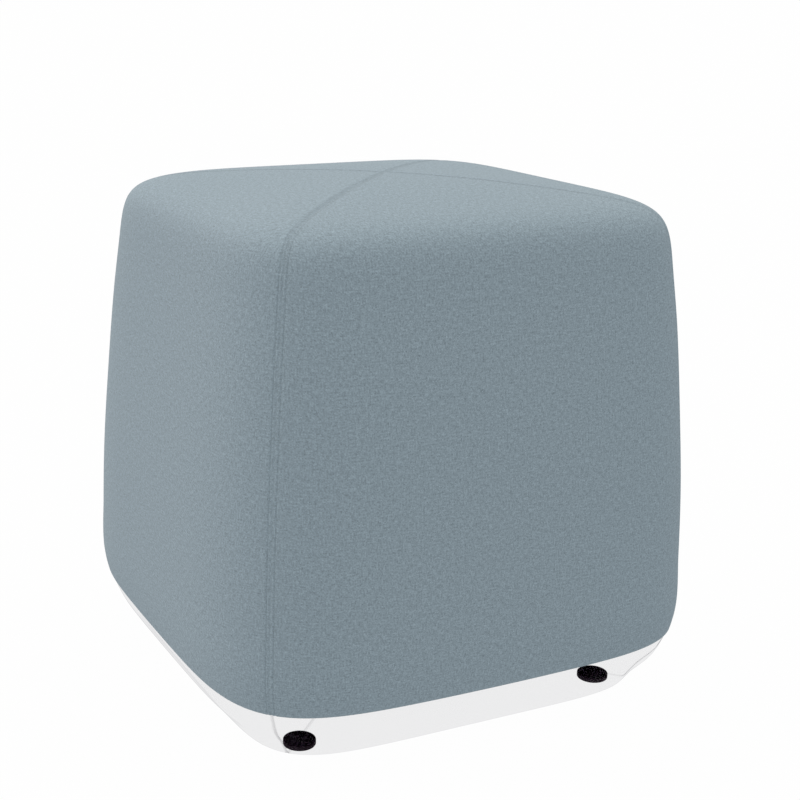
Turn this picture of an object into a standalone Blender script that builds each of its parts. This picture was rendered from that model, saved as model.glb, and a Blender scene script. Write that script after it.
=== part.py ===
"""Soft cube pouf stool: a filled felt cover, sewn from four gores, on a clear base tray with four
round glides. Metres, +Z up, floor at Z = 0, origin under the middle of the stool. The sides face
X and Y, and the front is towards -Y."""
import math
from collections import namedtuple

import bmesh
import bpy
from mathutils import Vector

COLLECTION_NAME = "cube_pouf_stool"

# Overall sizes
TOTAL_HEIGHT = 0.450
GLIDE_CLEARANCE = 0.005  # underside of the tray above the floor
COVER_EDGE_HEIGHT = 0.057  # lower edge of the cover above the floor
GAP = 0.0003  # between neighbouring pieces

# The sides. Half width is measured at the middle of a side, and corner reach is the X and the Y
# of the seam at the corner, so their ratio says how round the corner is.
Station = namedtuple("Station", "height half_width corner_reach")
SIDE_STATIONS = (
    Station(0.005, 0.1890, 0.1684),
    Station(0.020, 0.2011, 0.1760),
    Station(0.040, 0.2160, 0.1882),
    Station(0.075, 0.2260, 0.1960),
    Station(0.125, 0.2260, 0.1955),
    Station(0.190, 0.2223, 0.1935),
    Station(0.260, 0.2165, 0.1893),
    Station(0.330, 0.2095, 0.1842),
    Station(0.385, 0.2033, 0.1786),
)

# The shoulder is a Bezier curve from the top of the sides to the rim of the crown, and the crown
# is a parabola from that rim to the middle.
CROWN_RISE = 0.0098
CROWN_HALF_WIDTH = 0.1475
CROWN_CORNER_RATIO = 0.8775  # corner reach over half width on the top
SHOULDER_SIDE_HANDLE = 0.040
SHOULDER_TOP_HANDLE = 0.049

# The turned-under lower edge of the cover
EDGE_RADIUS = 0.0025
EDGE_STEPS = 3

# Sewn channels: a valley where two panels meet, and a dip under each row of top-stitching
SEAM_VALLEY_DEPTH = 0.0013
SEAM_VALLEY_WIDTH = 0.0012
STITCH_ROW_OFFSET = 0.0035
STITCH_DIP_DEPTH = 0.0007
STITCH_DIP_WIDTH = 0.0009
COVER_SEAM_COLUMNS = (0.0, 0.0013, 0.0024, 0.0035, 0.0048, 0.0075)

# The tray under the cover, with its moulded corner lines
TRAY_INSET = 0.0015
TRAY_WALL = 0.0032
TRAY_FLOOR = 0.003
TRAY_LINE_DEPTH = 0.0005
TRAY_LINE_WIDTH = 0.0007
TRAY_SEAM_COLUMNS = (0.0, 0.0008, 0.0016, 0.0030)
TRAY_EDGE_INSET = 0.0020  # the underside's edge is eased by this much
TRAY_EDGE_RISE = 0.0012

# The glides
GLIDE_RADIUS = 0.0138
GLIDE_REACH = 0.1475  # X and Y of each glide's centre
GLIDE_EDGE = 0.0009
GLIDE_EDGE_STEPS = 2
GLIDE_SIDES = 40
GLIDES = {
    "glide_front_left": (-1, -1),
    "glide_front_right": (1, -1),
    "glide_back_left": (-1, 1),
    "glide_back_right": (1, 1),
}

# How finely the lofts are stepped
SIDE_COLUMNS = 7  # from the last seam column to the middle of a side
COLUMN_CROWDING = 1.3  # above 1, these columns lie closer together towards the corner
SIDE_STEPS = 13
SHOULDER_STEPS = 9
CROWN_STEPS = 8
TRAY_WALL_STEPS = 5
TRAY_FLAT_STEPS = 4
SMALLEST_RING = 0.0115  # half width of the ring that closes on the middle

SHARP_ANGLE = math.radians(40)  # edges that bend more than this are shaded sharp

# Finishes: colour is linear
Finish = namedtuple("Finish", "colour roughness alpha")
FELT = Finish((0.29, 0.35, 0.39, 1.0), 0.95, 1.0)
CLEAR_PLASTIC = Finish((0.86, 0.87, 0.89, 1.0), 0.08, 0.3)
BLACK_RUBBER = Finish((0.006, 0.004, 0.007, 1.0), 0.55, 1.0)

Ring = namedtuple("Ring", "height half_width corner_reach depth_scale")


def clear_scene():
    for item in list(bpy.data.objects):
        bpy.data.objects.remove(item, do_unlink=True)


def new_material(name, finish):
    material = bpy.data.materials.new(name)
    material.use_nodes = True
    shader = material.node_tree.nodes["Principled BSDF"]
    shader.inputs["Base Color"].default_value = finish.colour
    shader.inputs["Roughness"].default_value = finish.roughness
    shader.inputs["Metallic"].default_value = 0.0
    shader.inputs["Alpha"].default_value = finish.alpha
    return material


def slope_at(index, field):
    """Slope of one column of the side table at a station, from its neighbours."""
    before = SIDE_STATIONS[max(index - 1, 0)]
    after = SIDE_STATIONS[min(index + 1, len(SIDE_STATIONS) - 1)]
    rise = getattr(after, field) - getattr(before, field)
    return rise / (after.height - before.height)


def side_size(height, field):
    """Half width or corner reach of the sides at a height, on a smooth curve."""
    last = len(SIDE_STATIONS) - 2
    index = 0
    while index < last and height > SIDE_STATIONS[index + 1].height:
        index += 1
    low = SIDE_STATIONS[index]
    high = SIDE_STATIONS[index + 1]
    span = high.height - low.height
    t = (height - low.height) / span
    return (
        getattr(low, field) * (1 + 2 * t) * (1 - t) ** 2
        + slope_at(index, field) * span * t * (1 - t) ** 2
        + getattr(high, field) * t * t * (3 - 2 * t)
        + slope_at(index + 1, field) * span * t * t * (t - 1)
    )


def side_ring(height, inset=0.0, depth_scale=1.0):
    """Section of the sides at a height, drawn in by an inset all round."""
    half_width = side_size(height, "half_width") - inset
    corner_reach = side_size(height, "corner_reach") - inset / math.sqrt(2)
    return Ring(height, half_width, corner_reach, depth_scale)


def bezier(points, t):
    a, b, c, d = points
    return a * (1 - t) ** 3 + 3 * b * (1 - t) ** 2 * t + 3 * c * (1 - t) * t * t + d * t**3


def shoulder_rings():
    """Sections from the top of the sides over the shoulder to the rim of the crown."""
    top = SIDE_STATIONS[-1]
    rim_height = TOTAL_HEIGHT - CROWN_RISE
    side_slope = slope_at(len(SIDE_STATIONS) - 1, "half_width")
    rim_slope = 2 * CROWN_RISE / CROWN_HALF_WIDTH
    widths = (
        top.half_width,
        top.half_width + SHOULDER_SIDE_HANDLE * side_slope,
        CROWN_HALF_WIDTH + SHOULDER_TOP_HANDLE,
        CROWN_HALF_WIDTH,
    )
    heights = (
        top.height,
        top.height + SHOULDER_SIDE_HANDLE,
        rim_height - SHOULDER_TOP_HANDLE * rim_slope,
        rim_height,
    )
    side_ratio = top.corner_reach / top.half_width
    rings = []
    for step in range(1, SHOULDER_STEPS + 1):
        t = step / SHOULDER_STEPS
        half_width = bezier(widths, t)
        ratio = side_ratio + (CROWN_CORNER_RATIO - side_ratio) * t
        rings.append(Ring(bezier(heights, t), half_width, half_width * ratio, 1.0))
    return rings


def crown_rings():
    """Sections of the crown, from inside its rim to the ring that closes on the middle."""
    rings = []
    for step in range(1, CROWN_STEPS + 1):
        share = 1 - step / CROWN_STEPS * (1 - SMALLEST_RING / CROWN_HALF_WIDTH)
        half_width = CROWN_HALF_WIDTH * share
        height = TOTAL_HEIGHT - CROWN_RISE * share**2
        rings.append(Ring(height, half_width, half_width * CROWN_CORNER_RATIO, 1.0))
    return rings


def cover_rings():
    rings = []
    for step in range(EDGE_STEPS):
        turn = step / EDGE_STEPS * math.pi / 2
        height = COVER_EDGE_HEIGHT + EDGE_RADIUS * (1 - math.cos(turn))
        inset = EDGE_RADIUS * (1 - math.sin(turn))
        rings.append(side_ring(height, inset, depth_scale=math.sin(turn)))
    start = COVER_EDGE_HEIGHT + EDGE_RADIUS
    rise = SIDE_STATIONS[-1].height - start
    for step in range(SIDE_STEPS + 1):
        rings.append(side_ring(start + rise * step / SIDE_STEPS))
    return rings + shoulder_rings() + crown_rings()


def flat_rings(height, outer, steps, depth_scale):
    """Sections on a flat face, from an outer ring to the one that closes on the middle."""
    rings = []
    for step in range(1, steps + 1):
        share = 1 - step / steps * (1 - SMALLEST_RING / outer.half_width)
        rings.append(Ring(height, outer.half_width * share, outer.corner_reach * share, depth_scale))
    return rings


def tray_rings():
    """Sections of the tray from the middle of its underside, up the outside of the wall, over
    the rim and down the inside to the middle of its floor."""
    underside = side_ring(GLIDE_CLEARANCE, TRAY_INSET + TRAY_EDGE_INSET)
    outside = [underside]
    wall_start = GLIDE_CLEARANCE + TRAY_EDGE_RISE
    rim_height = COVER_EDGE_HEIGHT - GAP
    for step in range(TRAY_WALL_STEPS + 1):
        height = wall_start + (rim_height - wall_start) * step / TRAY_WALL_STEPS
        outside.append(side_ring(height, TRAY_INSET))
    floor_height = GLIDE_CLEARANCE + TRAY_FLOOR
    inside = []
    for step in range(TRAY_WALL_STEPS + 1):
        height = rim_height + (floor_height - rim_height) * step / TRAY_WALL_STEPS
        inside.append(side_ring(height, TRAY_INSET + TRAY_WALL, depth_scale=0.0))
    under = flat_rings(GLIDE_CLEARANCE, underside, TRAY_FLAT_STEPS, 1.0)
    floor = flat_rings(floor_height, inside[-1], TRAY_FLAT_STEPS, 0.0)
    return under[::-1] + outside + inside + floor


def half_side_turns(corner_distance, seam_columns):
    """Angles from the seam to the middle of a side. The first columns keep their distance from
    the seam, whatever the size of the section, and the others share out the rest."""
    turns = [offset / corner_distance for offset in seam_columns]
    first = turns[-1]
    for step in range(1, SIDE_COLUMNS + 1):
        share = (step / SIDE_COLUMNS) ** COLUMN_CROWDING
        turns.append(first + (math.pi / 4 - first) * share)
    return turns


def relief_direction(rings, index):
    """Outward normal at the seam, as how much of it is level and how much is up."""
    before = rings[max(index - 1, 0)]
    after = rings[min(index + 1, len(rings) - 1)]
    run = (after.corner_reach - before.corner_reach) * math.sqrt(2)
    rise = after.height - before.height
    length = math.hypot(run, rise)
    return rise / length, -run / length


def ring_points(rings, index, seam_columns, seam_depth):
    """Points round one section, starting at the front left seam and going anticlockwise."""
    ring = rings[index]
    level, up = relief_direction(rings, index)
    corner_distance = ring.corner_reach * math.sqrt(2)
    exponent = math.log(2) / math.log(ring.half_width / ring.corner_reach)
    turns = half_side_turns(corner_distance, seam_columns)
    points = []
    for side in range(4):
        seam_angle = math.radians(-135 + 90 * side)
        next_seam = seam_angle + math.pi / 2
        spots = [(seam_angle, turn, 1) for turn in turns]
        spots += [(next_seam, turn, -1) for turn in turns[-2:0:-1]]
        for seam, turn, way in spots:
            angle = seam + way * turn
            flatness = abs(math.cos(angle)) ** exponent + abs(math.sin(angle)) ** exponent
            radius = ring.half_width / flatness ** (1 / exponent)
            depth = seam_depth(turn * corner_distance) * ring.depth_scale
            point = Vector((math.cos(angle), math.sin(angle), 0.0)) * radius
            point.z = ring.height - depth * up
            point -= Vector((math.cos(seam), math.sin(seam), 0.0)) * depth * level
            points.append(point)
    return points


def cover_seam_depth(distance):
    valley = SEAM_VALLEY_DEPTH * math.exp(-((distance / SEAM_VALLEY_WIDTH) ** 2))
    from_row = (distance - STITCH_ROW_OFFSET) / STITCH_DIP_WIDTH
    return valley + STITCH_DIP_DEPTH * math.exp(-(from_row**2))


def tray_seam_depth(distance):
    return TRAY_LINE_DEPTH * math.exp(-((distance / TRAY_LINE_WIDTH) ** 2))


def close_on_middle(bm, loop, height):
    """Close a ring of vertices on a point on the axis, with faces that turn as the ring does."""
    middle = bm.verts.new((0.0, 0.0, height))
    for index, vertex in enumerate(loop):
        bm.faces.new((vertex, loop[(index + 1) % len(loop)], middle))


def loft(name, rings, seam_columns, seam_depth, first_middle, last_middle):
    """Closed solid through the rings. A middle height closes that end on a point, and None
    closes it with one flat face."""
    bm = bmesh.new()
    loops = []
    for index in range(len(rings)):
        points = ring_points(rings, index, seam_columns, seam_depth)
        loops.append([bm.verts.new(point) for point in points])
    for lower, upper in zip(loops, loops[1:]):
        for index in range(len(lower)):
            after = (index + 1) % len(lower)
            bm.faces.new((lower[index], lower[after], upper[after], upper[index]))
    if first_middle is None:
        bm.faces.new(loops[0][::-1])
    else:
        close_on_middle(bm, loops[0][::-1], first_middle)
    close_on_middle(bm, loops[-1], last_middle)
    mesh = bpy.data.meshes.new(name)
    bm.to_mesh(mesh)
    bm.free()
    return mesh


def place(name, mesh, material, collection, location=(0.0, 0.0, 0.0)):
    mesh.shade_smooth()
    mesh.set_sharp_from_angle(angle=SHARP_ANGLE)
    if material.name not in mesh.materials:
        mesh.materials.append(material)
    item = bpy.data.objects.new(name, mesh)
    item.location = location
    collection.objects.link(item)
    return item


def make_cover(collection, felt):
    middle = TOTAL_HEIGHT - SEAM_VALLEY_DEPTH
    rings = cover_rings()
    mesh = loft("cover", rings, COVER_SEAM_COLUMNS, cover_seam_depth, None, middle)
    place("cover", mesh, felt, collection)


def make_tray(collection, clear):
    underside = GLIDE_CLEARANCE + TRAY_LINE_DEPTH
    floor = GLIDE_CLEARANCE + TRAY_FLOOR
    rings = tray_rings()
    mesh = loft("base_tray", rings, TRAY_SEAM_COLUMNS, tray_seam_depth, underside, floor)
    place("base_tray", mesh, clear, collection)


def make_glides(collection, rubber):
    height = GLIDE_CLEARANCE - GAP
    bm = bmesh.new()
    bmesh.ops.create_cone(
        bm,
        cap_ends=True,
        segments=GLIDE_SIDES,
        radius1=GLIDE_RADIUS,
        radius2=GLIDE_RADIUS,
        depth=height,
    )
    mesh = bpy.data.meshes.new("glide")
    bm.to_mesh(mesh)
    bm.free()
    for name, (x_side, y_side) in GLIDES.items():
        location = (x_side * GLIDE_REACH, y_side * GLIDE_REACH, height / 2)
        glide = place(name, mesh, rubber, collection, location)
        edge = glide.modifiers.new("edge", "BEVEL")
        edge.width = GLIDE_EDGE
        edge.segments = GLIDE_EDGE_STEPS
        edge.limit_method = "ANGLE"


def main():
    clear_scene()
    collection = bpy.data.collections.new(COLLECTION_NAME)
    bpy.context.scene.collection.children.link(collection)
    make_cover(collection, new_material("wool_felt", FELT))
    make_tray(collection, new_material("clear_plastic", CLEAR_PLASTIC))
    make_glides(collection, new_material("black_rubber", BLACK_RUBBER))


main()
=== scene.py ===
"""The finished look of the soft cube pouf stool: a filled cover of four felt gores with twin rows
of top-stitching, a clear moulded tray and four black glides. Metres, in the frame of the solids."""
import math
from collections import namedtuple
import bmesh
import bpy
import numpy as np
from mathutils import Matrix, Vector


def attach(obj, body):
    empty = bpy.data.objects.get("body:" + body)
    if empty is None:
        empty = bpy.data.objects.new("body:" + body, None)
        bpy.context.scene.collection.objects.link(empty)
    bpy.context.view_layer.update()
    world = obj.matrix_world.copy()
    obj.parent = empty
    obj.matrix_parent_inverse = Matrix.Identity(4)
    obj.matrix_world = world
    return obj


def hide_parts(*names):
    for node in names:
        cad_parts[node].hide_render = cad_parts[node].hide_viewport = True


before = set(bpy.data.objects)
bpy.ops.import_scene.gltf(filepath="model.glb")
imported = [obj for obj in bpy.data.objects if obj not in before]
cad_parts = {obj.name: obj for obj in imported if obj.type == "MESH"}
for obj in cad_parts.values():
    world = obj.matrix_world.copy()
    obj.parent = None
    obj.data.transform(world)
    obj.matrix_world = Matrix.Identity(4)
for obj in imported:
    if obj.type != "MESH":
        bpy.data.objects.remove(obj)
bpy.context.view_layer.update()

# ---------------------------------------------------------------- sizes, as in the solids

TOTAL_HEIGHT = 0.450
GLIDE_CLEARANCE = 0.005  # underside of the tray above the floor
COVER_EDGE_HEIGHT = 0.057  # lower edge of the cover above the floor
GAP = 0.0003  # between pieces that sit against each other

# Half width is measured at the middle of a side, and corner reach is the X and the Y of the seam.
Station = namedtuple("Station", "height half_width corner_reach")
SIDE_STATIONS = (
    Station(0.005, 0.1890, 0.1684),
    Station(0.020, 0.2011, 0.1760),
    Station(0.040, 0.2160, 0.1882),
    Station(0.075, 0.2260, 0.1960),
    Station(0.125, 0.2260, 0.1955),
    Station(0.190, 0.2223, 0.1935),
    Station(0.260, 0.2165, 0.1893),
    Station(0.330, 0.2095, 0.1842),
    Station(0.385, 0.2033, 0.1786),
)

CROWN_RISE = 0.0098
CROWN_HALF_WIDTH = 0.1475
CROWN_CORNER_RATIO = 0.8775
SHOULDER_SIDE_HANDLE = 0.040
SHOULDER_TOP_HANDLE = 0.049

EDGE_RADIUS = 0.0025

TRAY_INSET = 0.0015
TRAY_WALL = 0.0032
TRAY_FLOOR = 0.003
TRAY_LINE_DEPTH = 0.0005
TRAY_LINE_WIDTH = 0.0007
TRAY_EDGE_INSET = 0.0020  # the bevel round the underside, inwards
TRAY_EDGE_RISE = 0.0012  # and upwards

GLIDE_RADIUS = 0.0138
GLIDE_REACH = 0.1475  # X and Y of a glide's centre
GLIDE_EDGE = 0.0009
GLIDES = {
    "front_left": (-1, -1),
    "front_right": (1, -1),
    "back_left": (-1, 1),
    "back_right": (1, 1),
}

# ---------------------------------------------------------------- the cover's edge and seams
# These are finer than in the solids, and closer to the photograph.

EDGE_SAG = 0.0015  # how much lower the cover's edge hangs in the middle of a side
EDGE_SAG_REACH = 0.040  # the sag is gone this far above and below the edge

SEAM_VALLEY_DEPTH = 0.00035
SEAM_VALLEY_HALF = 0.0037
SIDE_VALLEY_SHARE = 0.9  # of that depth down the corners
SEAM_CREASE_DEPTH = 0.00028
SEAM_CREASE_WIDTH = 0.0006
STITCH_ROW_OFFSET = 0.0031
STITCH_DIP_DEPTH = 0.00060
STITCH_DIP_WIDTH = 0.00062
CROWN_DENT_SHARE = 0.3  # of the crease and of the dips under the stitches, on the crown

# The seams on either side of the front, as angles about the stool's axis.
LEFT_SEAM = math.radians(-135)
RIGHT_SEAM = math.radians(-45)
HALF_SIDE = math.pi / 4  # the angle from a seam to the middle of a side

# ---------------------------------------------------------------- how finely things are made

COLUMNS_INSIDE_STITCHES = (0.0, 0.0003, 0.0006, 0.0009, 0.0013, 0.0018, 0.0023, 0.0027)
COLUMNS_OUTSIDE_STITCHES = (0.0035, 0.0039, 0.0044, 0.0052, 0.0064, 0.0080)
COVER_SEAM_COLUMNS = (*COLUMNS_INSIDE_STITCHES, STITCH_ROW_OFFSET, *COLUMNS_OUTSIDE_STITCHES)
STITCH_COLUMN = len(COLUMNS_INSIDE_STITCHES)
BESIDE_COLUMN = STITCH_COLUMN + 3  # shows which way the cloth slopes beside the stitches
COVER_SIDE_COLUMNS = 26
COVER_EDGE_ROWS = 6
COVER_SIDE_ROWS = 110
COVER_SHOULDER_ROWS = 40
COVER_CROWN_ROWS = 50
TRAY_SEAM_COLUMNS = (0.0, 0.0003, 0.0006, 0.0009, 0.0013, 0.0018, 0.0030)
TRAY_SIDE_COLUMNS = 20
TRAY_WALL_ROWS = 24
TRAY_FLAT_ROWS = 16
COLUMN_CROWDING = 1.3  # how much closer the side's columns stand near its seams
SEAM_COLUMN_SHARE = 0.7  # most of a half side that the seam columns may take up
LAST_SHARE = 0.012  # the last ring before the middle, as a share of the rim
GORE_SPACING = 0.7  # between the gores on the cloth they are cut from
FAR_FROM_SEAM = 0.1  # the distance that the seam map gives the flat ends
GLIDE_TURN_STEPS = 96
GLIDE_EDGE_STEPS = 5
SHARP_ANGLE = math.radians(40)

# ---------------------------------------------------------------- top-stitching

STITCH_PITCH = 0.0034
STITCH_LENGTH = 0.0027
THREAD_RADIUS = 0.00023
THREAD_FLATNESS = 0.5  # its thickness out of the cloth, as a share of its width
THREAD_END_SHARE = 0.55  # how much of its width is left where it goes in
THREAD_SIDES = 6
THREAD_RINGS = 6
STITCH_RISE = 0.00004  # how far the middle of a stitch's axis stands above the cloth
STITCH_SINK = 0.00030  # how far its ends go in
PATH_STEP = 0.0001  # to either side of a place, to find the way a row of stitches runs
STRAIGHT_FROM = 0.015  # from the crown's middle, where the gores get too narrow for their columns
# The seam from the front left corner to the back right one is sewn last, so its stitches go on
# over the middle of the crown. The other seam's end beside them.
SEAM_ENDS = {
    "front_left": 0.0,
    "front_right": STITCH_ROW_OFFSET,
    "back_right": 0.0,
    "back_left": STITCH_ROW_OFFSET,
}

# ---------------------------------------------------------------- materials

NOISE_RANGE = (0.3, 0.7)  # where most of a noise texture's values lie

FELT_COLOUR = (0.1915, 0.2418, 0.2745)
FELT_TONES = (0.64, 1.40)  # the darkest and the lightest fibres, as shares of that colour
YARN_PITCH = 0.0014
YARN_CROSSING = 0.5  # how far out of level a yarn is where it is wholly over the other
YARN_SHARE = 0.6  # of the speckle, which the yarns make, and the fuzz makes the rest
FUZZ_SHARE = 0.4
FUZZ_SIZE = 0.0011
STREAK_LENGTH = 0.0042
WEAVE_RELIEF = 0.5  # as a share of the fuzz's relief
BLOTCH_SCALE = 180.0
BLOTCH_TONES = (0.97, 1.03)
PAINTED_SEAM_SHADE_HALF = 0.0039  # on the crown the cloth between the stitches is darkened with painted shade, the shade of the seam's valley
PAINTED_SEAM_SHADE_START = (0.33, 0.40)  # where that begins and is full, as a length up the cloth
PAINTED_SEAM_SHADE_LOSS = 0.09

THREAD_TONES = (0.78, 1.02)  # as shares of the felt's colour
PLY_SCALE = 2600.0

FILM_TINT = (0.9205, 0.9205, 0.924, 1.0)  # light that goes through the tray's tinted outside
OUTLINE_TINT = (0.78, 0.78, 0.79, 1.0)  # and through it at its outline
OUTLINE_FACING = 0.90  # how much it is turned away where its outline begins
LINE_TINT = (0.88, 0.88, 0.885, 1.0)  # light through a mould line that is seen face on
EDGE_ON_LINE_TINT = (0.52, 0.52, 0.53, 1.0)  # and through one that is seen edge on
NO_TINT = (1.0, 1.0, 1.0, 1.0)
MOULD_LINE_HALF = 0.0005
MOULD_LINE_FADE = 0.0021
UNDERSIDE_LINE_SHARE = 0.6  # how strong the lines are under the tray
GLOSS_COLOUR = (0.9, 0.9, 0.92, 1.0)
GLOSS_ROUGHNESS = 0.08
EDGE_GLOSS = 0.03
GLOSS_POWER = 8.0  # how fast the gloss grows towards the outline

GLIDE_COLOUR = (0.0130, 0.0072, 0.0126, 1.0)
GLIDE_SHEEN_AND_SCUFF_COLOUR = (0.0190, 0.0140, 0.0190, 1.0)  # painted sheen on the wall and the underside, broken up by scuffs
GLIDE_SHEEN_AND_SCUFF_DEPTHS = (0.0018, 0.0008)  # below the tray, where that is full and where it ends
SHEEN_AND_SCUFF_SHARES = (0.6, 1.0)
SCUFF_SCALE = 220.0
SCUFF_RANGE = (0.3, 0.6)
GRAIN_SCALE = 1800.0
GRAIN_ROUGHNESS = (0.6, 0.8)

# ---------------------------------------------------------------- view and light

CAMERA_AZIMUTH = math.radians(-28.03)
CAMERA_DISTANCE = 1.3005  # level distance from the middle of the stool
CAMERA_HEIGHT = 0.6151
CAMERA_ROLL = math.radians(0.53)
AIM_HEIGHT = 0.2405
AIM_TO_LEFT = 0.0548  # of the stool's axis, because the photograph is an off-centre crop
LENS = 66.41
SENSOR = 36.0
SHIFT_X = 0.10  # a part of that crop, and the aim makes the rest

Lamp = namedtuple("Lamp", "name towards energy colour angle")
LAMPS = (
    Lamp("overhead", Vector((0.034, 0.130, 0.991)), 1.60, (1.0, 0.940, 0.860), math.radians(50)),
    Lamp("behind", Vector((-0.593, 0.787, 0.174)), 2.00, (1.0, 0.860, 0.790), math.radians(80)),
)
STUDIO_WHITE = 0.993
FLOOR_SIZE = 60.0
FLOOR_GLOW = 0.987
FLOOR_COLOUR = (0.004, 0.004, 0.004, 1.0)
WHITE = (1.0, 1.0, 1.0, 1.0)

# The sections of a form, one value each in every field. Valley share and dent share say how much
# of the seam's valley, and of its crease and dips, a section has.
Rows = namedtuple("Rows", "height half_width corner_reach valley_share dent_share")


# ================================================================ forms


def station_slopes(field):
    """Heights and values of the side stations, and the slope of the curve at each of them."""
    values = np.array([getattr(station, field) for station in SIDE_STATIONS])
    heights = np.array([station.height for station in SIDE_STATIONS])
    before = np.maximum(np.arange(len(values)) - 1, 0)
    after = np.minimum(np.arange(len(values)) + 1, len(values) - 1)
    return heights, values, (values[after] - values[before]) / (heights[after] - heights[before])


def side_size(height, field):
    """Half width or corner reach of the sides at each height, on a smooth curve."""
    heights, values, slopes = station_slopes(field)
    index = np.clip(np.searchsorted(heights, height, side="left") - 1, 0, len(heights) - 2)
    span = heights[index + 1] - heights[index]
    t = (height - heights[index]) / span
    return (
        values[index] * (1 + 2 * t) * (1 - t) ** 2
        + slopes[index] * span * t * (1 - t) ** 2
        + values[index + 1] * t * t * (3 - 2 * t)
        + slopes[index + 1] * span * t * t * (t - 1)
    )


def side_rows(height, inset=0.0, valley_share=1.0, dent_share=1.0):
    """Sections of the sides at some heights, made smaller by an inset."""
    height = np.asarray(height, dtype=float)
    inset = np.broadcast_to(inset, height.shape)
    return Rows(
        height,
        side_size(height, "half_width") - inset,
        side_size(height, "corner_reach") - inset / math.sqrt(2),
        np.broadcast_to(valley_share, height.shape),
        np.broadcast_to(dent_share, height.shape),
    )


def join_rows(*groups):
    return Rows(*(np.concatenate(values) for values in zip(*groups)))


def bezier(points, t):
    a, b, c, d = points
    return a * (1 - t) ** 3 + 3 * b * (1 - t) ** 2 * t + 3 * c * (1 - t) * t * t + d * t**3


def shoulder_rows(count):
    """Sections of the rounded shoulder, from the top of the sides to the rim of the crown."""
    top = SIDE_STATIONS[-1]
    rim_height = TOTAL_HEIGHT - CROWN_RISE
    side_slope = station_slopes("half_width")[2][-1]
    rim_slope = 2 * CROWN_RISE / CROWN_HALF_WIDTH
    widths = (
        top.half_width,
        top.half_width + SHOULDER_SIDE_HANDLE * side_slope,
        CROWN_HALF_WIDTH + SHOULDER_TOP_HANDLE,
        CROWN_HALF_WIDTH,
    )
    heights = (
        top.height,
        top.height + SHOULDER_SIDE_HANDLE,
        rim_height - SHOULDER_TOP_HANDLE * rim_slope,
        rim_height,
    )
    t = np.arange(1, count + 1) / count
    side_ratio = top.corner_reach / top.half_width
    ratio = side_ratio + (CROWN_CORNER_RATIO - side_ratio) * t
    half_width = bezier(widths, t)
    ease = t * t * (3 - 2 * t)
    valley_share = SIDE_VALLEY_SHARE + (1 - SIDE_VALLEY_SHARE) * ease
    dent_share = 1 + (CROWN_DENT_SHARE - 1) * ease
    return Rows(bezier(heights, t), half_width, half_width * ratio, valley_share, dent_share)


def crown_rows(count):
    """Sections of the domed crown, from its rim to just before its middle."""
    share = 1 - np.arange(1, count + 1) / count * (1 - LAST_SHARE)
    half_width = CROWN_HALF_WIDTH * share
    height = TOTAL_HEIGHT - CROWN_RISE * share**2
    dent_share = np.full(count, CROWN_DENT_SHARE)
    return Rows(height, half_width, half_width * CROWN_CORNER_RATIO, np.ones(count), dent_share)


def cover_rows():
    """From the turned lower edge, up the sides, over the shoulder and in to the crown's middle."""
    turn = np.arange(COVER_EDGE_ROWS) / COVER_EDGE_ROWS * math.pi / 2
    edge_height = COVER_EDGE_HEIGHT + EDGE_RADIUS * (1 - np.cos(turn))
    inset = EDGE_RADIUS * (1 - np.sin(turn))
    edge = side_rows(edge_height, inset, SIDE_VALLEY_SHARE * np.sin(turn), np.sin(turn))
    side_heights = np.linspace(
        COVER_EDGE_HEIGHT + EDGE_RADIUS, SIDE_STATIONS[-1].height, COVER_SIDE_ROWS + 1
    )
    side = side_rows(side_heights, 0.0, SIDE_VALLEY_SHARE)
    return join_rows(edge, side, shoulder_rows(COVER_SHOULDER_ROWS), crown_rows(COVER_CROWN_ROWS))


def flat_rows(height, outer, count, valley_share):
    """Rings from the rim of a flat face, whose size is outer's last row, to its middle."""
    share = 1 - np.arange(1, count + 1) / count * (1 - LAST_SHARE)
    return Rows(
        np.full(count, height),
        outer.half_width[-1] * share,
        outer.corner_reach[-1] * share,
        np.full(count, valley_share),
        np.zeros(count),
    )


def reverse_rows(rows):
    return Rows(*(values[::-1] for values in rows))


def tray_rows():
    """From the middle of the underside, up the outside, over the rim and down to the floor."""
    underside = side_rows([GLIDE_CLEARANCE], TRAY_INSET + TRAY_EDGE_INSET)
    rim_height = COVER_EDGE_HEIGHT - GAP
    wall_heights = np.linspace(GLIDE_CLEARANCE + TRAY_EDGE_RISE, rim_height, TRAY_WALL_ROWS + 1)
    outside = side_rows(wall_heights, TRAY_INSET)
    floor_height = GLIDE_CLEARANCE + TRAY_FLOOR
    inner_heights = np.linspace(rim_height, floor_height, TRAY_WALL_ROWS + 1)
    inside = side_rows(inner_heights, TRAY_INSET + TRAY_WALL, 0.0)
    under = flat_rows(GLIDE_CLEARANCE, underside, TRAY_FLAT_ROWS, 1.0)
    floor = flat_rows(floor_height, inside, TRAY_FLAT_ROWS, 0.0)
    return join_rows(reverse_rows(under), underside, outside, inside, floor)


def cover_seam_depth(distance, rows):
    """A round valley between the two rows of stitches, with a narrow crease along the seam and a
    dip under each row."""
    across = np.clip(distance / SEAM_VALLEY_HALF, 0, 1)
    valley = SEAM_VALLEY_DEPTH * np.cos(across * math.pi / 2) ** 2
    crease = SEAM_CREASE_DEPTH * np.exp(-((distance / SEAM_CREASE_WIDTH) ** 2))
    dip = STITCH_DIP_DEPTH * np.exp(-(((distance - STITCH_ROW_OFFSET) / STITCH_DIP_WIDTH) ** 2))
    return valley * rows.valley_share[:, None] + (crease + dip) * rows.dent_share[:, None]


def tray_seam_depth(distance, rows):
    """The fine groove of a mould line."""
    groove = TRAY_LINE_DEPTH * np.exp(-((distance / TRAY_LINE_WIDTH) ** 2))
    return groove * rows.valley_share[:, None]


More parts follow.
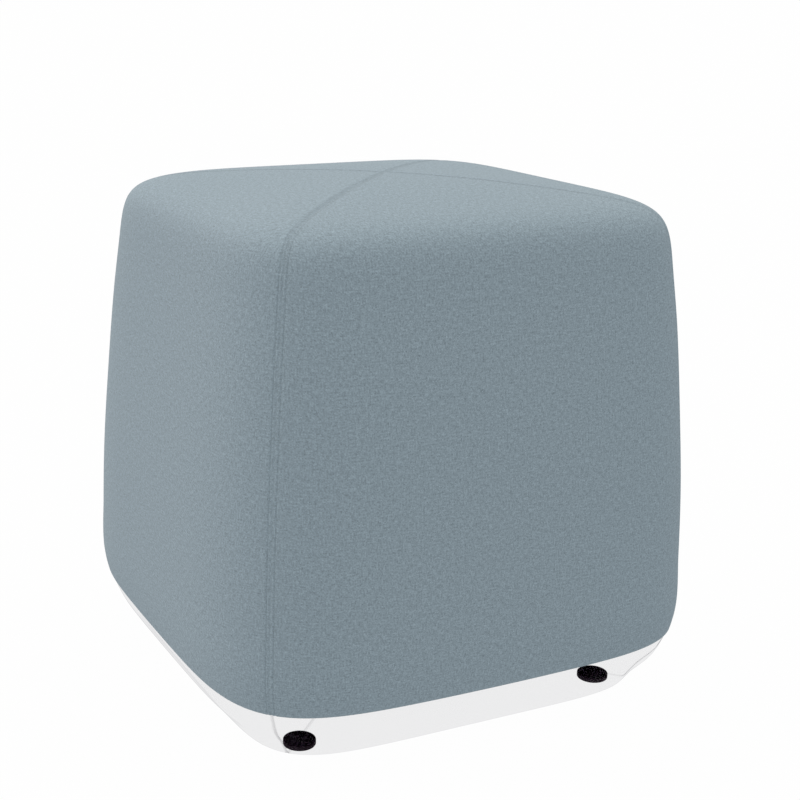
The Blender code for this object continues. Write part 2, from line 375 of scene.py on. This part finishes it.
def half_side_turns(corner_distance, seam_columns, side_columns):
    """Angle of each column from its seam, for every row. The seam columns keep their distance
    from the seam until the section gets too small for them."""
    offsets = np.asarray(seam_columns)
    room = SEAM_COLUMN_SHARE * HALF_SIDE
    shrink = np.minimum(1.0, room * corner_distance / offsets[-1])
    near = offsets[None] * (shrink / corner_distance)[:, None]
    first = near[:, -1:]
    share = (np.arange(1, side_columns + 1) / side_columns) ** COLUMN_CROWDING
    return np.concatenate([near, first + (HALF_SIDE - first) * share[None]], axis=1)


def outward_at_seam(rows):
    """Outward normal at the seam for each row, as how much of it is level and how much is up."""
    run = np.gradient(rows.corner_reach) * math.sqrt(2)
    rise = np.gradient(rows.height)
    length = np.hypot(run, rise)
    return rise / length, -run / length


def edge_sag(height):
    """How far the middle of a side sags at each height, most at the cover's edge."""
    away = np.clip(np.abs(height - COVER_EDGE_HEIGHT) / EDGE_SAG_REACH, 0, 1)
    return EDGE_SAG * (1 - away**2) ** 2


def half_gore(rows, turn, seam, way, seam_depth):
    """Points of one half of a side, rows by columns, at some angles from its seam, and how far
    from the seam each of them lies. Way is 1 for the half that begins at its seam, and -1 for
    the half that ends there."""
    angle = seam + way * turn
    exponent = (math.log(2) / np.log(rows.half_width / rows.corner_reach))[:, None]
    flatness = np.abs(np.cos(angle)) ** exponent + np.abs(np.sin(angle)) ** exponent
    radius = rows.half_width[:, None] / flatness ** (1 / exponent)
    distance = turn * (rows.corner_reach * math.sqrt(2))[:, None]
    depth = seam_depth(distance, rows)
    sag = edge_sag(rows.height)[:, None] * np.sin(2 * turn) ** 2
    level, up = outward_at_seam(rows)
    points = np.stack(
        [
            np.cos(angle) * radius - math.cos(seam) * depth * level[:, None],
            np.sin(angle) * radius - math.sin(seam) * depth * level[:, None],
            rows.height[:, None] - depth * up[:, None] - sag,
        ],
        axis=-1,
    )
    return points, distance


def gore_points(rows, seam_columns, side_columns, seam_depth):
    """Points of the front side, rows by columns, from its left seam to its right one, and how far
    from a seam each of them lies. The last column is the next side's first."""
    turns = half_side_turns(rows.corner_reach * math.sqrt(2), seam_columns, side_columns)
    left = half_gore(rows, turns, LEFT_SEAM, 1, seam_depth)
    right = half_gore(rows, turns[:, -2::-1], RIGHT_SEAM, -1, seam_depth)
    return [np.concatenate(halves, axis=1) for halves in zip(left, right)]


def turned(points, quarter):
    """Points turned about the axis by a number of quarter turns."""
    cos, sin = ((1, 0), (0, 1), (-1, 0), (0, -1))[quarter % 4]
    x, y, z = points[..., 0], points[..., 1], points[..., 2]
    return np.stack([cos * x - sin * y, sin * x + cos * y, z], axis=-1)


def new_object(name, mesh, material, body="root"):
    """Puts a smooth piece of the stool in the scene, on its body."""
    item = bpy.data.objects.new(name, mesh)
    bpy.context.scene.collection.objects.link(item)
    mesh.materials.append(material)
    mesh.shade_smooth()
    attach(item, body)
    return item


def path_run(path):
    """Length along a path at each of its points."""
    step = np.linalg.norm(np.diff(path, axis=0), axis=1)
    return np.concatenate([[0.0], np.cumsum(step)])


def loft_quads(row_count, around):
    """Faces between the rows of a closed form, with the row and the column each starts from."""
    rows, columns = np.divmod(np.arange((row_count - 1) * around), around)
    after = (columns + 1) % around
    low = rows * around
    high = low + around
    quads = np.stack([low + columns, low + after, high + after, high + columns], axis=-1)
    return [tuple(quad) for quad in quads.tolist()], rows, columns


def end_fan(first, around, middle, looks_up):
    """Triangles that close a ring of points, which starts at first, on a middle point."""
    pairs = [(first + column, first + (column + 1) % around) for column in range(around)]
    return [(*(pair if looks_up else pair[::-1]), middle) for pair in pairs]


def cloth_maps(gore, distance, rows, columns):
    """Weave and seam coordinates at the corners of the faces of loft_quads. Weave is the cloth's
    own width and length in metres, and seam is the distance from the seam and the length."""
    per_side = gore.shape[1] - 1
    steps = np.linalg.norm(np.diff(gore, axis=1), axis=-1)
    width = np.concatenate([np.zeros((len(gore), 1)), np.cumsum(steps, axis=1)], axis=1)
    from_middle = width - width[:, per_side // 2][:, None]
    length = path_run(gore[:, per_side // 2])
    side, local = np.divmod(columns, per_side)
    row = rows[:, None] + np.array((0, 0, 1, 1))
    column = local[:, None] + np.array((0, 1, 1, 0))
    across = from_middle[row, column] + GORE_SPACING * (side[:, None] + 1)
    weave = np.stack([across, length[row]], axis=-1)
    seam = np.stack([distance[row, column], length[row]], axis=-1)
    return weave.reshape(-1, 2), seam.reshape(-1, 2)


def add_cloth_maps(mesh, points, weave, seam):
    """Gives a mesh its two maps. The flat ends, which come last, are mapped from above and count
    as far from a seam."""
    loop_points = np.zeros(len(mesh.loops), dtype=np.int64)
    mesh.loops.foreach_get("vertex_index", loop_points)
    ends = points[loop_points[len(weave) :], :2]
    far = np.tile((FAR_FROM_SEAM, 0.0), (len(ends), 1))
    for name, faces, rest in (("weave", weave, ends), ("seam", seam, far)):
        values = np.concatenate([faces, rest]).astype(np.float32)
        mesh.uv_layers.new(name=name).data.foreach_set("uv", values.ravel())


def loft_mesh(name, gore, distance, first_middle, last_middle):
    """Closed mesh of four equal gores. A middle height closes an end on a point, and None
    closes it with one flat face."""
    around = (gore.shape[1] - 1) * 4
    points = np.concatenate([turned(gore[:, :-1], quarter) for quarter in range(4)], axis=1)
    points = points.reshape(-1, 3)
    count = len(points)
    faces, rows, columns = loft_quads(len(gore), around)
    middles = []
    if first_middle is None:
        faces.append(tuple(range(around))[::-1])
    else:
        faces += end_fan(0, around, count, looks_up=False)
        middles.append((0.0, 0.0, first_middle))
    faces += end_fan(count - around, around, count + len(middles), looks_up=True)
    middles.append((0.0, 0.0, last_middle))
    points = np.concatenate([points, middles])
    mesh = bpy.data.meshes.new(name)
    mesh.from_pydata(points.tolist(), [], faces)
    add_cloth_maps(mesh, points, *cloth_maps(gore, distance, rows, columns))
    mesh.validate()
    mesh.update()
    return mesh


def outward_faces(mesh):
    bm = bmesh.new()
    bm.from_mesh(mesh)
    bmesh.ops.recalc_face_normals(bm, faces=bm.faces)
    bm.to_mesh(mesh)
    bm.free()


# ================================================================ materials


class Tree:
    """A material's nodes, made with short calls."""

    def __init__(self, name):
        self.material = bpy.data.materials.new(name)
        self.material.use_nodes = True
        self.nodes = self.material.node_tree.nodes
        self.links = self.material.node_tree.links
        self.nodes.clear()
        self.output = self.nodes.new("ShaderNodeOutputMaterial")

    def add(self, kind, inputs=None, **settings):
        """A new node. An input is a value, or another node's socket that is linked to it."""
        node = self.nodes.new("ShaderNode" + kind)
        for name, value in settings.items():
            setattr(node, name, value)
        for name, value in (inputs or {}).items():
            if isinstance(value, bpy.types.NodeSocket):
                self.links.new(value, node.inputs[name])
            else:
                node.inputs[name].default_value = value
        return node

    def math(self, operation, *values):
        return self.add("Math", dict(enumerate(values)), operation=operation).outputs[0]

    def map(self, name):
        return self.add("UVMap", uv_map=name).outputs["UV"]

    def parts(self, vector):
        return self.add("SeparateXYZ", {"Vector": vector}).outputs

    def scaled(self, vector, scale):
        inputs = {"Vector": vector, "Scale": scale}
        return self.add("Mapping", inputs).outputs["Vector"]

    def noise(self, vector, scale=1.0, detail=2.0, roughness=0.5):
        inputs = {"Vector": vector, "Scale": scale, "Detail": detail, "Roughness": roughness}
        return self.add("TexNoise", inputs).outputs["Fac"]

    def spread(self, value, low, high, to_low=0.0, to_high=1.0):
        """A value's place from low to high, spread over another range and kept inside it."""
        inputs = {
            "Value": value,
            "From Min": low,
            "From Max": high,
            "To Min": to_low,
            "To Max": to_high,
        }
        return self.add("MapRange", inputs).outputs["Result"]

    def mix(self, factor, first, second):
        """A colour between two. The numbers are the sockets of the node's colour form."""
        return self.add("Mix", {0: factor, 6: first, 7: second}, data_type="RGBA").outputs[2]

    def bump(self, height, strength, distance):
        inputs = {"Strength": strength, "Distance": distance, "Height": height}
        return self.add("Bump", inputs).outputs["Normal"]

    def finish(self, shader):
        self.links.new(shader.outputs[0], self.output.inputs["Surface"])
        return self.material


def tone(share):
    """The felt's colour, lighter or darker by a share."""
    return tuple(channel * share for channel in FELT_COLOUR) + (1.0,)


def woven_yarns(tree, cloth):
    """Streaks along the weft and the warp, where each passes over the other, and the pattern of
    which is over."""
    long_way = 1 / STREAK_LENGTH
    short_way = 1 / YARN_PITCH
    weft = tree.noise(tree.scaled(cloth, (long_way, short_way, 1.0)))
    warp = tree.noise(tree.scaled(cloth, (short_way, long_way, 1.0)))
    parts = tree.parts(cloth)
    wave_u = tree.math("SINE", tree.math("MULTIPLY", parts["X"], math.pi / YARN_PITCH))
    wave_v = tree.math("SINE", tree.math("MULTIPLY", parts["Y"], math.pi / YARN_PITCH))
    over = tree.spread(tree.math("MULTIPLY", wave_u, wave_v), -YARN_CROSSING, YARN_CROSSING)
    weft_share = tree.math("MULTIPLY", weft, over)
    warp_share = tree.math("MULTIPLY", warp, tree.math("SUBTRACT", 1.0, over))
    return tree.math("ADD", weft_share, warp_share), over


def painted_seam_shade(tree):
    """How much painted shade darkens the cloth between the two rows of stitches on the crown."""
    seam = tree.parts(tree.map("seam"))
    strip = tree.spread(seam["X"], STITCH_ROW_OFFSET, PAINTED_SEAM_SHADE_HALF, 1.0, 0.0)
    crown = tree.spread(seam["Y"], *PAINTED_SEAM_SHADE_START)
    return tree.math("MULTIPLY", tree.math("MULTIPLY", strip, crown), PAINTED_SEAM_SHADE_LOSS)


def felt_material():
    """A fine melange cloth: light and dark fibres spun into warp and weft."""
    tree = Tree("melange_felt")
    cloth = tree.map("weave")
    yarn, over = woven_yarns(tree, cloth)
    fuzz = tree.noise(cloth, 1 / FUZZ_SIZE, detail=3.0, roughness=0.6)
    yarn_part = tree.math("MULTIPLY", yarn, YARN_SHARE)
    speckle = tree.math("ADD", yarn_part, tree.math("MULTIPLY", fuzz, FUZZ_SHARE))
    dark, light = FELT_TONES
    colour = tree.mix(tree.spread(speckle, *NOISE_RANGE), tone(dark), tone(light))
    blotch = tree.spread(tree.noise(cloth, BLOTCH_SCALE, detail=3.0), *NOISE_RANGE, *BLOTCH_TONES)
    # The blotches are the cloth's own uneven tone, and the strip between the stitches is painted
    # shade.
    shade = tree.math("MULTIPLY", blotch, tree.math("SUBTRACT", 1.0, painted_seam_shade(tree)))
    shaded = tree.add("VectorMath", {0: colour, "Scale": shade}, operation="SCALE")
    height = tree.math("ADD", tree.math("MULTIPLY", over, WEAVE_RELIEF), fuzz)
    shader = tree.add(
        "BsdfPrincipled",
        {
            "Base Color": shaded.outputs["Vector"],
            "Roughness": 0.95,
            "Specular IOR Level": 0.10,
            "Sheen Weight": 0.02,
            "Sheen Roughness": 0.5,
            "Normal": tree.bump(height, strength=0.35, distance=0.00025),
        },
    )
    return tree.finish(shader)


def thread_material():
    """Thread in the felt's colour, with a fine ply."""
    tree = Tree("topstitch_thread")
    place = tree.add("TexCoord").outputs["Object"]
    ply = tree.noise(place, PLY_SCALE)
    dark, light = THREAD_TONES
    shader = tree.add(
        "BsdfPrincipled",
        {
            "Base Color": tree.mix(tree.spread(ply, *NOISE_RANGE), tone(dark), tone(light)),
            "Roughness": 0.7,
            "Specular IOR Level": 0.25,
            "Normal": tree.bump(ply, strength=0.4, distance=0.0001),
        },
    )
    return tree.finish(shader)


def tray_material(underside_length, rim_length):
    """Clear plastic with a faint grey film on its outside, which is darker on the mould lines and
    at the outline, and a weak gloss that grows where it is seen edge on. In the seam map the
    underside comes first, and the outside ends at the rim's length."""
    tree = Tree("clear_tinted_plastic")
    facing = tree.add("LayerWeight", {"Blend": 0.5}).outputs["Facing"]
    seam = tree.parts(tree.map("seam"))
    outside = tree.math("LESS_THAN", seam["Y"], rim_length)
    on_wall = tree.math("GREATER_THAN", seam["Y"], underside_length)
    line = tree.spread(seam["X"], MOULD_LINE_HALF, MOULD_LINE_FADE, 1.0, 0.0)
    line = tree.math("MULTIPLY", line, tree.spread(on_wall, 0.0, 1.0, UNDERSIDE_LINE_SHARE, 1.0))
    film = tree.mix(tree.spread(facing, OUTLINE_FACING, 1.0), FILM_TINT, OUTLINE_TINT)
    film = tree.mix(line, film, tree.mix(facing, LINE_TINT, EDGE_ON_LINE_TINT))
    clear = tree.add("BsdfTransparent", {"Color": tree.mix(outside, NO_TINT, film)})
    gloss = tree.add("BsdfGlossy", {"Color": GLOSS_COLOUR, "Roughness": GLOSS_ROUGHNESS})
    amount = tree.math("MULTIPLY", tree.math("POWER", facing, GLOSS_POWER), EDGE_GLOSS)
    shader = tree.add("MixShader", {0: amount, 1: clear.outputs[0], 2: gloss.outputs[0]})
    return tree.finish(shader)


def glide_material():
    """Matt black rubber, a little paler on its wall and its underside: painted sheen, broken up by
    scuffs.
    """
    tree = Tree("black_glide_rubber")
    place = tree.add("TexCoord").outputs["Object"]
    # The paler wall and underside are painted sheen, and the noise on them is scuffs.
    full, end = (GLIDE_CLEARANCE - depth for depth in GLIDE_SHEEN_AND_SCUFF_DEPTHS)
    below = tree.spread(tree.parts(place)["Z"], full, end, 1.0, 0.0)
    scuff = tree.spread(tree.noise(place, SCUFF_SCALE, detail=3.0), *SCUFF_RANGE, *SHEEN_AND_SCUFF_SHARES)
    sheen_and_scuff = tree.math("MULTIPLY", below, scuff)
    grain = tree.noise(place, GRAIN_SCALE, detail=3.0)
    shader = tree.add(
        "BsdfPrincipled",
        {
            "Base Color": tree.mix(sheen_and_scuff, GLIDE_COLOUR, GLIDE_SHEEN_AND_SCUFF_COLOUR),
            "Roughness": tree.spread(grain, *NOISE_RANGE, *GRAIN_ROUGHNESS),
            "Specular IOR Level": 0.01,
            "Normal": tree.bump(grain, strength=0.04, distance=0.0001),
        },
    )
    return tree.finish(shader)


def floor_material():
    """A floor that glows as the studio does, so that it is as white as the background."""
    tree = Tree("pale_floor")
    shader = tree.add(
        "BsdfPrincipled",
        {
            "Base Color": FLOOR_COLOUR,
            "Roughness": 1.0,
            "Specular IOR Level": 0.0,
            "Emission Color": WHITE,
            "Emission Strength": FLOOR_GLOW,
        },
    )
    return tree.finish(shader)


# ================================================================ pieces


def make_cover(felt):
    """The filled cover. Gives back its front side's points, for the stitches."""
    rows = cover_rows()
    gore, distance = gore_points(rows, COVER_SEAM_COLUMNS, COVER_SIDE_COLUMNS, cover_seam_depth)
    middle = TOTAL_HEIGHT - SEAM_VALLEY_DEPTH - SEAM_CREASE_DEPTH * CROWN_DENT_SHARE
    mesh = loft_mesh("cover_felt", gore, distance, None, middle)
    cover = new_object("cover_felt", mesh, felt)
    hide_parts("cover")
    return gore


def along_path(distance, run, line):
    """Points of a line at some lengths along its run."""
    return np.stack([np.interp(distance, run, line[:, axis]) for axis in range(3)], axis=-1)


def stitch_frames(path, beside, run, start):
    """Places along one stitch, with the ways across it and out of the cloth at each of them."""
    distance = start + np.linspace(0, 1, THREAD_RINGS) * STITCH_LENGTH
    place = along_path(distance, run, path)
    ahead = along_path(distance + PATH_STEP, run, path)
    forward = ahead - along_path(distance - PATH_STEP, run, path)
    forward /= np.linalg.norm(forward, axis=1)[:, None]
    across = along_path(distance, run, beside) - place
    across -= np.sum(across * forward, axis=1)[:, None] * forward
    across /= np.linalg.norm(across, axis=1)[:, None]
    normal = np.cross(across, forward)
    outward = place - np.array([0.0, 0.0, TOTAL_HEIGHT / 2])
    normal *= np.sign(np.sum(normal * outward, axis=1))[:, None]
    return place, across, normal


def add_stitch(vertices, faces, place, across, normal):
    """A short flattened thread that rises from the cloth and goes back into it."""
    share = np.linspace(0, 1, THREAD_RINGS)
    lift = STITCH_RISE - (STITCH_RISE + STITCH_SINK) * (2 * share - 1) ** 4
    radius = np.full(THREAD_RINGS, THREAD_RADIUS)
    radius[[0, -1]] *= THREAD_END_SHARE
    centre = place + normal * lift[:, None]
    first = len(vertices)
    for ring in range(THREAD_RINGS):
        for side in range(THREAD_SIDES):
            angle = side / THREAD_SIDES * 2 * math.pi
            wide = across[ring] * math.cos(angle)
            high = normal[ring] * math.sin(angle) * THREAD_FLATNESS
            vertices.append(tuple(centre[ring] + (wide + high) * radius[ring]))
    for ring in range(THREAD_RINGS - 1):
        low = first + ring * THREAD_SIDES
        high = low + THREAD_SIDES
        for side in range(THREAD_SIDES):
            after = (side + 1) % THREAD_SIDES
            faces.append((low + side, low + after, high + after, high + side))
    last = first + (THREAD_RINGS - 1) * THREAD_SIDES
    faces.append(tuple(range(first, first + THREAD_SIDES))[::-1])
    faces.append(tuple(range(last, last + THREAD_SIDES)))


def stitch_mesh(name, paths):
    """All the stitches along some paths. A path comes with a line beside it, which gives the
    cloth's slope."""
    vertices = []
    faces = []
    for path, beside in paths:
        run = path_run(path)
        count = round(run[-1] / STITCH_PITCH)
        pitch = run[-1] / count
        for index in range(count):
            start = index * pitch + (pitch - STITCH_LENGTH) / 2
            add_stitch(vertices, faces, *stitch_frames(path, beside, run, start))
    mesh = bpy.data.meshes.new(name)
    mesh.from_pydata(vertices, [], faces)
    outward_faces(mesh)
    return mesh


def seam_side_line(gore, column, at_right, end_reach):
    """A line up one of the front gore's two seams, at a column's distance from it. Over the
    crown's middle it goes straight on, to where it is end_reach from the middle."""
    angle, way = (RIGHT_SEAM, -1) if at_right else (LEFT_SEAM, 1)
    outward = np.array([math.cos(angle), math.sin(angle), 0.0])
    sideways = way * np.array([-math.sin(angle), math.cos(angle), 0.0])
    last_row = int(np.argmax(np.hypot(gore[:, 0, 0], gore[:, 0, 1]) < STRAIGHT_FROM))
    line = gore[COVER_EDGE_ROWS:last_row, -1 - column if at_right else column]
    end = outward * end_reach + sideways * COVER_SEAM_COLUMNS[column]
    end[2] = TOTAL_HEIGHT - STITCH_DIP_DEPTH * CROWN_DENT_SHARE
    return np.concatenate([line, end[None]])


def make_topstitching(gore, thread):
    """Two rows of stitches on each seam, from the lower edge to the middle of the crown."""
    for quarter, (name, end_reach) in enumerate(SEAM_ENDS.items()):
        paths = []
        for at_right in (False, True):
            turns = quarter - 1 if at_right else quarter
            lines = [
                seam_side_line(gore, column, at_right, end_reach)
                for column in (STITCH_COLUMN, BESIDE_COLUMN)
            ]
            paths.append([turned(line, turns) for line in lines])
        mesh = stitch_mesh("topstitching_" + name, paths)
        new_object("topstitching_" + name, mesh, thread)


def make_tray():
    """The open tray, whose material is told where its underside and its outside end."""
    rows = tray_rows()
    gore, distance = gore_points(rows, TRAY_SEAM_COLUMNS, TRAY_SIDE_COLUMNS, tray_seam_depth)
    outer_rim = int(np.argmax(rows.height))
    run = path_run(gore[: outer_rim + 2, gore.shape[1] // 2])
    underside_length = float(run[TRAY_FLAT_ROWS])
    rim_length = float(run[-2:].mean())  # halfway from the rim's outer edge to its inner one
    clear = tray_material(underside_length, rim_length)
    underside = GLIDE_CLEARANCE + TRAY_LINE_DEPTH
    floor = GLIDE_CLEARANCE + TRAY_FLOOR
    mesh = loft_mesh("tray_shell", gore, distance, underside, floor)
    tray = new_object("tray_shell", mesh, clear)
    mesh.set_sharp_from_angle(angle=SHARP_ANGLE)
    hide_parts("base_tray")


def glide_profile():
    """Half section of a glide, up its wall from the edge of its underside to the edge of its top,
    as pairs of radius and height."""
    height = GLIDE_CLEARANCE - GAP
    corner = GLIDE_RADIUS - GLIDE_EDGE
    turn = np.linspace(0, math.pi / 2, GLIDE_EDGE_STEPS + 1)
    low = [(corner + GLIDE_EDGE * math.sin(a), GLIDE_EDGE * (1 - math.cos(a))) for a in turn]
    high = [(radius, height - rise) for radius, rise in low[::-1]]
    return low + high


def glide_mesh(name, x, y):
    """The half section turned about the axis of a glide, with its two ends closed."""
    profile = np.array(glide_profile())
    radius, height = profile.T[:, :, None]
    turn = np.arange(GLIDE_TURN_STEPS) / GLIDE_TURN_STEPS * 2 * math.pi
    places = np.broadcast_arrays(x + radius * np.cos(turn), y + radius * np.sin(turn), height)
    vertices = np.stack(places, axis=-1).reshape(-1, 3).tolist()
    faces = loft_quads(len(profile), GLIDE_TURN_STEPS)[0]
    faces.append(tuple(range(GLIDE_TURN_STEPS))[::-1])
    faces.append(tuple(range(len(vertices) - GLIDE_TURN_STEPS, len(vertices))))
    mesh = bpy.data.meshes.new(name)
    mesh.from_pydata(vertices, [], faces)
    return mesh


def make_glides(rubber):
    for name, (x_side, y_side) in GLIDES.items():
        mesh = glide_mesh("glide_pad_" + name, x_side * GLIDE_REACH, y_side * GLIDE_REACH)
        glide = new_object("glide_pad_" + name, mesh, rubber)
        mesh.set_sharp_from_angle(angle=SHARP_ANGLE)
        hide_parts("glide_" + name)


# ================================================================ stage


def make_floor():
    mesh = bpy.data.meshes.new("floor")
    half = FLOOR_SIZE / 2
    corners = [(-half, -half, 0), (half, -half, 0), (half, half, 0), (-half, half, 0)]
    mesh.from_pydata(corners, [], [(0, 1, 2, 3)])
    floor = bpy.data.objects.new("floor", mesh)
    bpy.context.scene.collection.objects.link(floor)
    mesh.materials.append(floor_material())


def make_light():
    """A white studio all round, and two wide lamps that are a little warm."""
    world = bpy.data.worlds.new("white_studio")
    bpy.context.scene.world = world
    world.use_nodes = True
    background = world.node_tree.nodes["Background"]
    background.inputs["Color"].default_value = WHITE
    background.inputs["Strength"].default_value = STUDIO_WHITE
    for lamp in LAMPS:
        light = bpy.data.lights.new(lamp.name, "SUN")
        light.energy = lamp.energy
        light.color = lamp.colour
        light.angle = lamp.angle
        item = bpy.data.objects.new(lamp.name, light)
        bpy.context.scene.collection.objects.link(item)
        item.rotation_euler = lamp.towards.to_track_quat("Z", "Y").to_euler()


def make_camera():
    """The photograph's view, from the front left and a little above."""
    camera = bpy.data.cameras.new("camera")
    camera.lens = LENS
    camera.sensor_width = SENSOR
    camera.shift_x = SHIFT_X
    item = bpy.data.objects.new("camera", camera)
    bpy.context.scene.collection.objects.link(item)
    place = Vector(
        (
            CAMERA_DISTANCE * math.sin(CAMERA_AZIMUTH),
            -CAMERA_DISTANCE * math.cos(CAMERA_AZIMUTH),
            CAMERA_HEIGHT,
        )
    )
    to_left = Vector((-math.cos(CAMERA_AZIMUTH), -math.sin(CAMERA_AZIMUTH), 0))
    aim = to_left * AIM_TO_LEFT
    aim.z = AIM_HEIGHT
    forward = (aim - place).normalized()
    level = forward.cross(Vector((0, 0, 1))).normalized()
    upright = level.cross(forward)
    right = level * math.cos(CAMERA_ROLL) + upright * math.sin(CAMERA_ROLL)
    up = upright * math.cos(CAMERA_ROLL) - level * math.sin(CAMERA_ROLL)
    turn = Matrix((right, up, -forward)).transposed().to_4x4()
    item.matrix_world = Matrix.Translation(place) @ turn
    bpy.context.scene.camera = item


def main():
    bpy.context.scene.view_settings.view_transform = "Standard"
    make_camera()
    make_light()
    make_floor()
    gore = make_cover(felt_material())
    make_topstitching(gore, thread_material())
    make_tray()
    make_glides(glide_material())


main()
